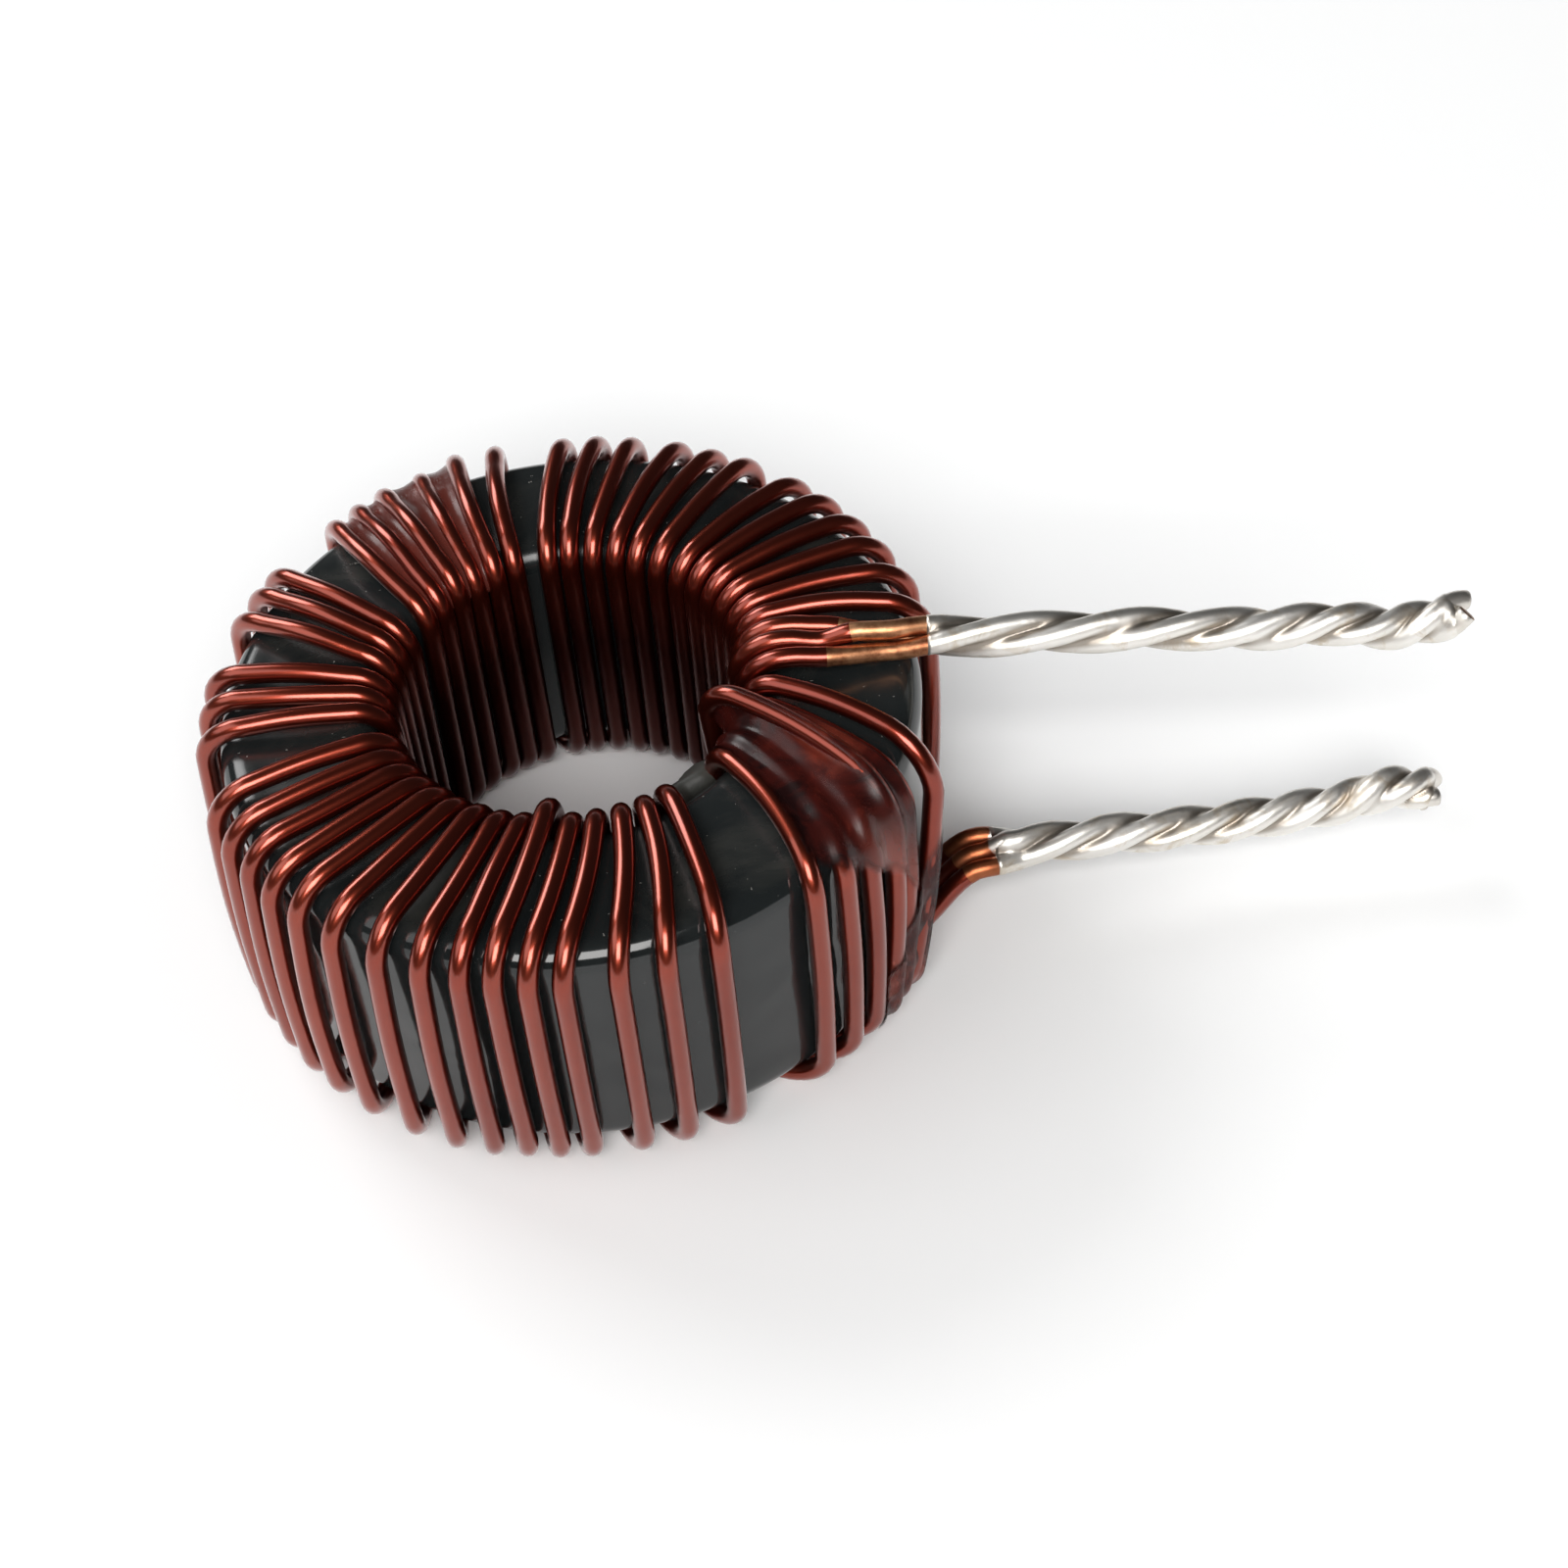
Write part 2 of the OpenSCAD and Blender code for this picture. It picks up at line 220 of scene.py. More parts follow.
def lead_corner(lead, wire, x):
    """A wire in the section of a lead at x: the lead's centre, directions across and up, the
    wire's offset along both, and the turns for a mm."""
    centre, ey, up, twist, rate = lead_at(lead, x)
    dia = WIRE_D + (BARE_D - WIRE_D) * smooth(x / (1.9 * WIRE_D))
    # three touching wires, further out where the twist is tight
    reach = dia / math.sqrt(3) * (1 + 3.4 * (dia * rate) ** 2) + LEAD_GAP
    gathered = x / lead["gather"]
    k = smooth(2 * gathered if wire == 1 else gathered)
    corner = math.radians(LEAD_CORNER[wire])
    y = LEAD_SIDE[wire] + (reach * math.cos(corner) - LEAD_SIDE[wire]) * k
    z = reach * math.sin(corner) * k
    return (centre, ey, up, y * math.cos(twist) - z * math.sin(twist),
            y * math.sin(twist) + z * math.cos(twist), rate)


def lead_point(lead, wire, x):
    centre, ey, up, y, z, _ = lead_corner(lead, wire, x)
    return centre + ey * y + up * z


def lead_wire(lead, wire, n):
    """Points of a wire along a lead, each with its x. They get closer towards the tip."""
    length = lead_axis(lead)[1] - lead["trim"][wire]
    pts = []
    for i in range(n + 1):
        v = i / n
        x = length * (1.35 * v - 0.35 * v * v)
        pts.append((lead_point(lead, wire, x), x))
    return pts


def start_run(wire):
    """From the start lead over the inner edge, and where that ends in the bore."""
    p_lead = lead_point(START_LEAD, wire, 0.0)
    az_bore, lift, tuck = (TURNS[0][k][wire] for k in (1, 3, 4))
    bend_r = BEND_R + 0.4
    r_bore, z_bore = R_IN - tuck, Z_TOP + lift - bend_r
    r_lead, az_lead = math.hypot(p_lead[0], p_lead[1]), math.degrees(math.atan2(p_lead[1], p_lead[0]))
    bend = arc(r_bore + bend_r, z_bore, bend_r, BENDS[::-1], -1, 1, r_bore, az_bore, r_lead, az_lead)
    gap = np.linalg.norm(p_lead - bend[0])
    joint = hermite(p_lead, -lead_axis(START_LEAD)[2] * gap, bend[0], unit(bend[1] - bend[0]) * gap, 4)
    return joint + bend, (r_bore, az_bore, z_bore)


def low_run(wire, turn, bore, r_run, steps, r_end, az_end):
    """Down the bore from where the turn before ended, and under the core to r_run."""
    az_low = TURNS[turn - 1][1][wire] + TURNS[turn - 1][5][wire]
    span = (R_IN, az_low, r_end, az_end)
    return (leg(*bore, R_IN, az_low, Z_LOW + BEND_R, 8)
            + arc(R_IN + BEND_R, Z_LOW + BEND_R, BEND_R, BENDS, -1, -1, *span)
            + run(R_IN + BEND_R, Z_LOW, r_run, Z_LOW, steps, *span))


def turn_run(wire, turn, bore):
    """One turn, down the bore and round the core to the bore again, and where it ends there."""
    rnd = random.Random(100 * wire + turn)
    az_out, az_in, stand, lift, tuck, _, shift_out, foot = (row[wire] for row in TURNS[turn])
    az_low = TURNS[turn - 1][1][wire] + TURNS[turn - 1][5][wire]
    az_foot = az_out + shift_out
    r_foot, r_out, r_in = R_OUT + foot, R_OUT + stand, R_IN - tuck
    drop = lift if tuck < 0.65 else 0.95
    foot_r, top_r = BEND_R + FOOT_GAIN * foot, BEND_R + TOP_GAIN * (stand + lift)
    z_foot, z_out, z_in = Z_LOW + foot_r, Z_TOP + lift - top_r, Z_TOP + drop - BEND_R
    top = (r_in, az_in, r_out, az_out)
    # the leg up the outer wall bows out, so the bends at its ends stop at the angle of its lean
    bow = BELLY + rnd.uniform(-0.04, 0.06)
    lean = math.degrees(math.atan(math.pi * bow / (z_out - z_foot)))
    bends = [lean + i * (90 - lean) / 8 for i in range(9)]
    sag, k = math.sin(math.radians(lean)), math.cos(math.radians(lean))
    # the turns at the back left were wound loosely and stand up in the middle
    crown = rnd.uniform(0.22, 0.38) if turn in LOOSE_TURNS else rnd.uniform(0.04, 0.14)
    side = rnd.uniform(-0.05, 0.05)
    pts = (low_run(wire, turn, bore, r_foot - foot_r, 6, r_foot, az_foot)
           + arc(r_foot - foot_r, z_foot, foot_r, bends[::-1], 1, -1, R_IN, az_low, r_foot, az_foot)
           + leg(r_foot - foot_r * (1 - k), az_foot, z_foot - foot_r * sag,
                 r_out - top_r * (1 - k), az_out, z_out + top_r * sag, 10, out=bow)
           + arc(r_out - top_r, z_out, top_r, bends, 1, 1, *top)
           + run(r_out - top_r, Z_TOP + lift, r_in + BEND_R, Z_TOP + drop, 8, *top, crown=crown, side=side)
           + arc(r_in + BEND_R, z_in, BEND_R, BENDS[::-1], -1, 1, *top))
    return pts, (r_in, az_in, z_in)


def finish_run(wire, bore):
    """Last pass down the bore, under the core and up to the finish lead."""
    low = low_run(wire, len(TURNS), bore, LEAVE_R, 8, LEAVE_R, LEAVE_AZ[wire])[:-1]
    p_lead = lead_point(FINISH_LEAD, wire, 0.0)
    gap = np.linalg.norm(p_lead - low[-1])
    return low + hermite(low[-1], unit(low[-1] - low[-2]) * gap * 1.1,
                         p_lead, lead_axis(FINISH_LEAD)[2] * gap * 0.9, 12)


def wound_path(wire):
    """Centre line of a wire over the ring, with the turn that each point belongs to."""
    pts, bore = start_run(wire)
    path = [(p, 0) for p in pts]
    for turn in range(1, len(TURNS)):
        pts, bore = turn_run(wire, turn, bore)
        path += [(p, turn) for p in pts]
    return path + [(p, len(TURNS)) for p in finish_run(wire, bore)]


def wire_rings(wire):
    """Rings of one wire: centre, sideways direction, radius, bareness, tin and tint."""
    tints = [rng.uniform(0, 1) for _ in range(len(TURNS) + 1)]
    across = np.array((0, 1.0, 0))
    rings = []

    def add(at, side, bare, tin, tint):
        radius = BARE_D / 2 if bare else WIRE_D / 2
        rings.append(dict(at=at, side=side, radius=radius, bare=bare, tin=tin, tint=tint))

    for p, x in reversed(lead_wire(START_LEAD, wire, START_STEPS)):
        add(p, across, x >= STRIP_X[wire], smooth((x - START_TIN[0]) / START_TIN[1]), tints[0])
    for p, turn in wound_path(wire):
        add(p, unit(np.array((-p[1], p[0], 0.0))), False, 0.0, tints[turn])
    leave = len(rings)
    for p, x in lead_wire(FINISH_LEAD, wire, FINISH_STEPS):
        add(p, across, True, smooth((x - FINISH_TIN[0]) / FINISH_TIN[1]), tints[-1])
    # the enamel ends a little before the finish lead
    for ring in rings[:leave]:
        if np.linalg.norm(ring["at"] - rings[leave]["at"]) < 0.5 + 0.25 * wire:
            ring.update(bare=True, radius=BARE_D / 2)
    return rings


# ---------------------------------------------------------------- meshes
def band(a, b, count):
    """Quads between the closed ring of points from index a and the one from index b."""
    return [(a + k, a + (k + 1) % count, b + (k + 1) % count, b + k) for k in range(count)]


def tube_faces(rings, count):
    """Quads between neighbouring rings, with a face over each end."""
    faces = []
    for i in range(rings - 1):
        faces += band(i * count, (i + 1) * count, count)
    faces.append(tuple(range(count))[::-1])
    faces.append(tuple(range((rings - 1) * count, rings * count)))
    return faces


def grid_faces(rows, cols):
    """Quads over a grid of points that is stored row by row."""
    return [(r * cols + c, r * cols + c + 1, (r + 1) * cols + c + 1, (r + 1) * cols + c)
            for r in range(rows - 1) for c in range(cols - 1)]


def new_piece(name, verts, faces, slot, *nodes, materials, attrs=None, material_index=None):
    """A smooth piece from points in mm. One with a slot rides the part, the floor has none."""
    lift = CORE_Z if slot else 0.0
    mesh = bpy.data.meshes.new(name)
    mesh.from_pydata([(v[0] * MM, v[1] * MM, (v[2] + lift) * MM) for v in verts], [], faces)
    mesh.update()
    for key, values in (attrs or {}).items():
        layer = mesh.attributes.new(key, "FLOAT", "POINT")
        layer.data.foreach_set("value", np.array(values, dtype=np.float32))
    mesh.polygons.foreach_set("use_smooth", [True] * len(mesh.polygons))
    for material in materials:
        mesh.materials.append(material)
    if material_index:
        mesh.polygons.foreach_set("material_index", material_index)
    obj = bpy.data.objects.new(name, mesh)
    bpy.context.scene.collection.objects.link(obj)
    if slot:
        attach(obj, "root")
        if nodes:
            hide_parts(*nodes)
    return obj


def wire_mesh(name, rings, materials, node):
    """A wire swept through its rings: enamelled, bare, and with slightly domed cut ends."""
    n = len(rings)
    centres = np.array([ring["at"] for ring in rings])
    seg = np.diff(centres, axis=0)
    seg /= np.linalg.norm(seg, axis=1)[:, None]
    angles = [2 * math.pi * k / WIRE_SIDES for k in range(WIRE_SIDES)]
    verts, faces, material_index = [], [], []
    attrs = {"deep": [], "tin": [], "tint": [], "stain": []}

    def mark(**values):
        for key, value in values.items():
            attrs[key] += [value] * WIRE_SIDES

    for i, ring in enumerate(rings):
        at, ahead = ring["at"], unit(seg[max(i - 1, 0)] + seg[min(i, n - 2)])
        u = unit(ring["side"] - ahead * np.dot(ring["side"], ahead))
        v = np.cross(ahead, u)
        verts += [at + (u * math.cos(a) + v * math.sin(a)) * ring["radius"] for a in angles]
        # painted shade: 'deep' marks where the enamel is darkened, into the bore and more towards its
        # bottom
        in_bore = smooth((CORE_ID / 2 + 0.3 - math.hypot(at[0], at[1])) / 0.6)
        mark(deep=in_bore * smooth((CORE_H - 0.4 - at[2]) / 4.5),
             tin=ring["tin"], tint=ring["tint"], stain=1.0 if i > n / 2 else 0.0)
    for i in range(n - 1):
        faces += band(i * WIRE_SIDES, (i + 1) * WIRE_SIDES, WIRE_SIDES)
        material_index += [1 if rings[i]["bare"] or rings[i + 1]["bare"] else 0] * WIRE_SIDES
    for end, sign in ((0, -1), (n - 1, 1)):
        ahead = seg[0] if end == 0 else seg[-1]
        rim, dome = end * WIRE_SIDES, len(verts)
        verts += [centres[end] + (p - centres[end]) * CUT_SHARE + ahead * sign * CUT_DOME
                  for p in verts[rim:rim + WIRE_SIDES]]
        mark(deep=0.0, tin=0.5, tint=0.5, stain=0.0)
        faces += band(rim, dome, WIRE_SIDES) if sign > 0 else band(dome, rim, WIRE_SIDES)
        faces.append(tuple(range(dome, dome + WIRE_SIDES))[::sign])
        material_index += [2] * (WIRE_SIDES + 1)
    return new_piece(name, verts, faces, "enamelled_wire", node,
                     materials=materials, attrs=attrs, material_index=material_index)


def core_mesh(name, material):
    """The lacquered ring: a rounded section turned about the axis, with the slight swell,
    sag and orange peel of a thick coat."""
    r0, width, e = CORE_ID / 2, (CORE_OD - CORE_ID) / 2, EDGE_R
    section = []

    def corner(x, z, a0, a1):
        for i in range(CORNER_STEPS + 1):
            a = math.radians(a0 + (a1 - a0) * i / CORNER_STEPS)
            nx, nz = math.cos(a), math.sin(a)
            section.append((r0 + x + e * nx, z + e * nz, nx, nz))

    def side(xa, za, xb, zb, nx, nz, n):
        for i in range(1, n):
            t = i / n
            section.append((r0 + xa + (xb - xa) * t, za + (zb - za) * t, nx, nz))

    corner(width - e, e, -90, 0)
    side(width, e, width, CORE_H - e, 1, 0, WALL_STEPS)
    corner(width - e, CORE_H - e, 0, 90)
    side(width - e, CORE_H, e, CORE_H, 0, 1, FACE_STEPS)
    corner(e, CORE_H - e, 90, 180)
    side(0, CORE_H - e, 0, e, -1, 0, WALL_STEPS)
    corner(e, e, 180, 270)
    side(e, 0, width - e, 0, 0, -1, FACE_STEPS)
    # waves round the ring: their count, phase and slope. The last draw isn't used, but without it
    # the draws for the wires' tints would change
    waves = [(rng.choice((2, 3, 4, 5, 7, 9)), rng.uniform(0, PHASES), rng.uniform(0.2, 1.1),
              rng.uniform(0, PHASES)) for _ in range(9)]
    verts, facing = [], []
    for j in range(CORE_STEPS):
        az = 2 * math.pi * j / CORE_STEPS
        for r, z, nr, nz in section:
            wave = sum(math.sin(k * az + phase + slope * z + 0.6 * r) for k, phase, slope, _ in waves)
            swell = COAT_SWELL * (wave / len(waves)) - COAT_SINK
            rr = r + nr * swell
            verts.append((rr * math.cos(az), rr * math.sin(az), z + nz * swell))
            # the film on the top face reaches over the inner edge
            facing.append(min(1.0, nz + 0.6) if r < r0 + e else nz)
    m = len(section)
    faces = []
    for j in range(CORE_STEPS):
        a, b = j * m, (j + 1) % CORE_STEPS * m
        faces += [(a + i, b + i, b + (i + 1) % m, a + (i + 1) % m) for i in range(m)]
    return new_piece(name, verts, faces, "core_lacquer", "core",
                     materials=[material], attrs={"facing": facing})


def over_top(wire, turn, z_from, z_to=None):
    """Points on a wire in one turn, from z_from on the outer wall up to z_to, or else over the
    top to the bore."""
    pts = [p for p, k in wound_path(wire) if k == turn]
    outside = [i for i, p in enumerate(pts) if math.hypot(p[0], p[1]) > CORE_OD / 2]
    first = next(i for i in outside if pts[i][2] > z_from)
    last = len(pts) if z_to is None else next(i for i in outside if pts[i][2] > z_to)
    pts = np.array(pts[first:last])
    far = np.concatenate([[0], np.cumsum(np.linalg.norm(np.diff(pts, axis=0), axis=1))])
    at = np.linspace(0, far[-1], VARNISH_ROWS)
    return np.stack([np.interp(at, far, pts[:, k]) for k in range(3)], 1)


def varnish_mesh(name, material, stretches, lie, deep, red, fade, seed):
    """Thin brown varnish that ran over stretches of some wires and dried between them as a skin:
    it lies that far above the wires' surface and sags that deep between them, and thins out over
    the two given shares of its length."""
    rnd = random.Random(seed)
    waves = [(rnd.uniform(2, 9), rnd.uniform(0, PHASES), rnd.uniform(1, 7), rnd.uniform(0, PHASES))
             for _ in range(8)]
    lines = [over_top(*stretch) for stretch in stretches]
    rows, cols = VARNISH_ROWS, (len(lines) - 1) * VARNISH_COLS + 1
    top, under, low, edge = [], [], [], []
    for i in range(rows):
        v = i / (rows - 1)
        before, after = max(i - 1, 0), min(i + 1, rows - 1)
        for c in range(cols):
            j = min(c // VARNISH_COLS, len(lines) - 2)
            u = (c - j * VARNISH_COLS) / VARNISH_COLS
            a, b = lines[j], lines[j + 1]
            p = a[i] * (1 - u) + b[i] * u
            along = unit((a[after] - a[before]) * (1 - u) + (b[after] - b[before]) * u)
            az = math.degrees(math.atan2(p[1], p[0]))
            away = p - polar((CORE_OD + CORE_ID) / 4, az, CORE_H / 2)
            away = unit(away - along * np.dot(away, along))
            wave = sum(math.sin(k * v * 3.1 + f + q * c / cols * 3.1 + h)
                       for k, f, q, h in waves) / len(waves)
            sag = deep * (1 + 0.8 * wave) * math.sin(math.pi * u) ** 2
            ends = smooth(v / 0.06) * smooth((1 - v) / 0.05)
            thick = VARNISH_THICK * ends * smooth(c / 3) * smooth((cols - 1 - c) / 3)
            hold = WIRE_D / 2 + lie - sag + 0.03 * wave
            top.append(p + away * (hold + thick))
            under.append(p + away * (hold - VARNISH_ROOT))
            # painted reflection of the floor: redder near its foot, away from the first wire
            foot = 0.8 * smooth((0.30 - v) / 0.22) * smooth((c - 12) / 10)
            low.append(max(red, foot))
            edge.append(smooth(v / fade[0]) * smooth((c + 1) / 6) * smooth((1 - v) / fade[1]))
    verts = []
    for side in (top, under):
        g = np.array(side).reshape(rows, cols, 3)
        for _ in range(2):
            g[:, 1:-1] = g[:, :-2] / 4 + g[:, 1:-1] / 2 + g[:, 2:] / 4
        verts.extend(g.reshape(-1, 3))
    m = len(top)
    faces = []
    for quad in grid_faces(rows, cols):
        faces += [quad, tuple(m + k for k in quad[::-1])]
    last = (rows - 1) * cols
    rim = (list(range(cols)) + [i * cols + cols - 1 for i in range(1, rows)]
           + [last + c for c in range(cols - 2, -1, -1)] + [i * cols for i in range(rows - 2, 0, -1)])
    faces += [(b, a, m + a, m + b) for a, b in zip(rim, rim[1:] + rim[:1])]
    return new_piece(name, verts, faces, "core_lacquer",
                     materials=[material], attrs={"low": low + low, "edge": edge + edge})


def adhesive_mesh(name, material):
    """Lump of black adhesive in the mouth of the bore, over the first wires of turn 14."""
    rnd = random.Random(23)
    waves = [(rnd.uniform(0.1, 0.7), rnd.uniform(0, PHASES), rnd.randint(1, 4), rnd.uniform(0, PHASES))
             for _ in range(7)]
    a0, a1 = ADHESIVE_AZ
    verts = []
    for i in range(ADHESIVE_STEPS + 1):
        az = a0 + (a1 - a0) * i / ADHESIVE_STEPS
        k = smooth(min((az - a0) / 7, (a1 - az) / 12, 1.0))
        reach, z_mid, half = 0.35 + 1.85 * k, 9.4 - 0.7 * k, 1.1 + 1.35 * k
        for j in range(ADHESIVE_SIDES):
            f = 2 * math.pi * j / ADHESIVE_SIDES
            wave = sum(math.sin(w * az + p + q * f + h) for w, p, q, h in waves) / len(waves)
            r = CORE_ID / 2 + 0.30 - (reach * (0.5 - 0.5 * math.cos(f)) ** 0.8)
            z = z_mid + half * math.sin(f) * (0.75 + 0.25 * math.cos(f))
            verts.append(polar(r + 0.30 * wave * k, az, z + 0.25 * wave))
    return new_piece(name, verts, tube_faces(ADHESIVE_STEPS + 1, ADHESIVE_SIDES), "core_lacquer",
                     materials=[material])


def filled_radius(lead, x, rays, fill, wire_r):
    """Distance along each ray to the skin over the three wires of a lead at x, where the grooves
    between them are filled with that radius."""
    # a wire that slants through the section shows an oval, longer round the lead
    slant = 1 / math.cos(math.atan(2 * math.pi * 0.45 * lead_at(lead, x)[4]))
    centres = [np.array(lead_corner(lead, wire, x)[3:5]) for wire in range(3)]
    near, far = np.full(len(rays), 0.05), np.full(len(rays), 1.6)
    for _ in range(22):
        middle = (near + far) / 2
        spots = rays * middle[:, None]
        gaps = []
        for c in centres:
            outwards = unit(c)
            round_lead = np.array((-outwards[1], outwards[0]))
            rel = spots - c
            gaps.append(np.sqrt((rel @ outwards) ** 2 + (rel @ round_lead / slant) ** 2) - wire_r)
        inside = -fill * np.log(np.exp(-np.array(gaps) / fill).sum(0)) < 0
        near = np.where(inside, middle, near)
        far = np.where(inside, far, middle)
    return (near + far) / 2


def solder_mesh(name, material, lead, x0, x1, steps, seed):
    """Solder over a twisted lead: the three wires under one skin, filled in the grooves, with
    lumps and thin places."""
    rnd = random.Random(seed)
    phases = [(rnd.uniform(0.5, 2.6), rnd.uniform(0, PHASES), rnd.choice((0, 1, 1, 2, 3)),
               rnd.uniform(0, PHASES)) for _ in range(10)]
    angles = np.arange(SOLDER_SIDES) * 2 * math.pi / SOLDER_SIDES
    rays = np.stack([np.cos(angles), np.sin(angles)], 1)
    verts, groove = [], []
    for i in range(steps + 1):
        v = i / steps
        x = x0 + (x1 - x0) * (1.25 * v - 0.25 * v * v)
        centre, ey, up = lead_at(lead, x)[:3]
        # the skin thins out onto the bare wires at the end towards the ring
        full = smooth((x - x0) / 0.6)
        fill = (SOLDER_FILL + SOLDER_FILL_WAVE * math.sin(phases[0][0] * x + phases[0][1])
                + SOLDER_FILL_WAVE * math.sin(phases[1][0] * 1.7 * x + phases[1][1]))
        fill = SOLDER_SKIN + (max(SOLDER_FILL_MIN, fill) - SOLDER_SKIN) * full
        wire_r = (BARE_D / 2 + SOLDER_SKIN) * (0.985 + 0.015 * full)
        lump = sum(np.sin(a * x * 1.3 + b + k * angles + c) for a, b, k, c in phases) / len(phases)
        r = filled_radius(lead, x, rays, fill, wire_r) + SOLDER_LUMP * lump * full - SOLDER_SINK
        r *= 1 - 0.15 * max(0.0, 1 - (x1 - x) / SOLDER_TIP) ** 2
        verts += [centre + ey * (ray[0] * far) + up * (ray[1] * far) for ray, far in zip(rays, r)]
        # the radius, which the material turns into painted shade in the grooves
        groove += list(r)
    return new_piece(name, verts, tube_faces(steps + 1, SOLDER_SIDES), "tinned_lead",
                     materials=[material], attrs={"groove": groove})


# ---------------------------------------------------------------- materials
class Nodes:
    """A material with one Principled shader, and short calls for the nodes that feed it."""

    def __init__(self, name):
        self.mat = bpy.data.materials.new(name)
        self.mat.use_nodes = True
        self.tree = self.mat.node_tree
        self.tree.nodes.clear()
        self.out = self.tree.nodes.new("ShaderNodeOutputMaterial")
        self.bsdf = self.tree.nodes.new("ShaderNodeBsdfPrincipled")
        self.tree.links.new(self.bsdf.outputs[0], self.out.inputs[0])

    def put(self, node, key, value):
        """Link or set an input, which is named by its number or its name with underscores."""
        sock = node.inputs[key if isinstance(key, int) else key.replace("_", " ")]
        if isinstance(value, bpy.types.NodeSocket):
            self.tree.links.new(value, sock)
        else:
            sock.default_value = value

    def node(self, kind, **inputs):
        node = self.tree.nodes.new(kind)
        for key, value in inputs.items():
            self.put(node, key, value)
        return node

    def set(self, **inputs):
        for key, value in inputs.items():
            self.put(self.bsdf, key, value)

    def attr(self, name):
        node = self.node("ShaderNodeAttribute")
        node.attribute_name = name
        return node.outputs["Fac"]

    def coords(self):
        return self.node("ShaderNodeTexCoord").outputs["Object"]

    def noise(self, vector, scale, detail=3.0, rough=0.5, distortion=0.0):
        return self.node("ShaderNodeTexNoise", Vector=vector, Scale=scale, Detail=detail,
                         Roughness=rough, Distortion=distortion).outputs["Fac"]

    def ramp(self, fac, *stops):
        """Ramp through (position, grey or colour) stops."""
        node = self.node("ShaderNodeValToRGB", Fac=fac)
        elements = node.color_ramp.elements
        while len(elements) < len(stops):
            elements.new(0.5)
        for element, (position, colour) in zip(elements, stops):
            element.position = position
            element.color = (*colour, 1.0) if isinstance(colour, tuple) else (colour, colour, colour, 1.0)
        return node.outputs["Color"]

    def mix(self, fac, a, b):
        """Colour a, or b where fac is 1. In a Mix node of type RGBA these are inputs 0, 6 and 7."""
        node = self.tree.nodes.new("ShaderNodeMix")
        node.data_type = "RGBA"
        for key, value in ((0, fac), (6, a), (7, b)):
            self.put(node, key, (*value, 1.0) if isinstance(value, tuple) else value)
        return node.outputs[2]

    def math(self, operation, a, b, clamp=False):
        node = self.node("ShaderNodeMath")
        node.operation = operation
        node.use_clamp = clamp
        self.put(node, 0, a)
        self.put(node, 1, b)
        return node.outputs[0]

    def scaled(self, value, low, high):
        return self.node("ShaderNodeMapRange", Value=value, To_Min=low, To_Max=high).outputs[0]

    def bump(self, height, strength, distance, **inputs):
        return self.node("ShaderNodeBump", Height=height, Strength=strength, Distance=distance,
                         **inputs).outputs[0]


def enamel_material():
    m = Nodes("enamel_over_copper")
    xyz, deep = m.coords(), m.attr("deep")
    slow, fine = m.noise(xyz, 260.0, 2.0), m.noise(xyz, 1100.0)
    base = m.mix(slow, (0.205, 0.025, 0.012), (0.300, 0.044, 0.021))
    base = m.mix(m.math("MULTIPLY", m.attr("tint"), 0.45), base, (0.34, 0.058, 0.027))
    base = m.mix(m.scaled(fine, 0.0, 0.2), base, (0.12, 0.008, 0.006))
    # painted shade: the wires are darker deep in the bore, where they lie in shadow
    base = m.mix(m.math("MULTIPLY", deep, 0.85), base, (0.030, 0.003, 0.002))
    m.set(Base_Color=base, Metallic=0.97, Roughness=m.scaled(fine, 0.26, 0.32))
    # painted shade: deep in the bore the coat is thinned, so the wires reflect less there
    m.set(Coat_Weight=m.scaled(deep, 1.0, 0.35), Coat_Roughness=0.14, Coat_IOR=1.43)
    m.set(Normal=m.bump(m.noise(xyz, 700.0, 2.0), 0.08, 0.00003))
    return m.mat


def bare_material():
    """Scraped copper that turns into tinned wire."""
    m = Nodes("bare_copper_to_tin")
    xyz = m.coords()
    rag, streak = m.noise(xyz, 1500.0, 3.0, 0.6), m.noise(xyz, 700.0, 5.0, 0.7)
    tin = m.math("ADD", m.attr("tin"), m.scaled(rag, -0.35, 0.35))
    tin = m.ramp(tin, (0.42, 0.0), (0.58, 1.0))
    copper = m.ramp(streak, (0.36, (0.20, 0.060, 0.028)), (0.52, (0.52, 0.24, 0.12)),
                    (0.66, (0.72, 0.40, 0.22)))
    # flux and heat left the copper at the finish lead red brown
    burnt = m.mix(rag, (0.20, 0.035, 0.012), (0.50, 0.17, 0.075))
    copper = m.mix(m.math("MULTIPLY", m.attr("stain"), 0.85), copper, burnt)
    silver = m.mix(m.noise(xyz, 900.0), (0.66, 0.60, 0.52), (0.90, 0.89, 0.86))
    m.set(Base_Color=m.mix(tin, copper, silver), Metallic=1.0, Roughness=m.scaled(streak, 0.32, 0.5))
    m.set(Normal=m.bump(streak, 0.35, 0.00004))
    return m.mat


def cut_material():
    m = Nodes("cut_wire_end")
    grain = m.noise(m.coords(), 2500.0, 4.0, 0.7)
    m.set(Base_Color=m.mix(grain, (0.10, 0.06, 0.045), (0.42, 0.26, 0.17)), Metallic=1.0)
    m.set(Roughness=m.scaled(grain, 0.35, 0.6), Normal=m.bump(grain, 0.6, 0.00003))
    return m.mat


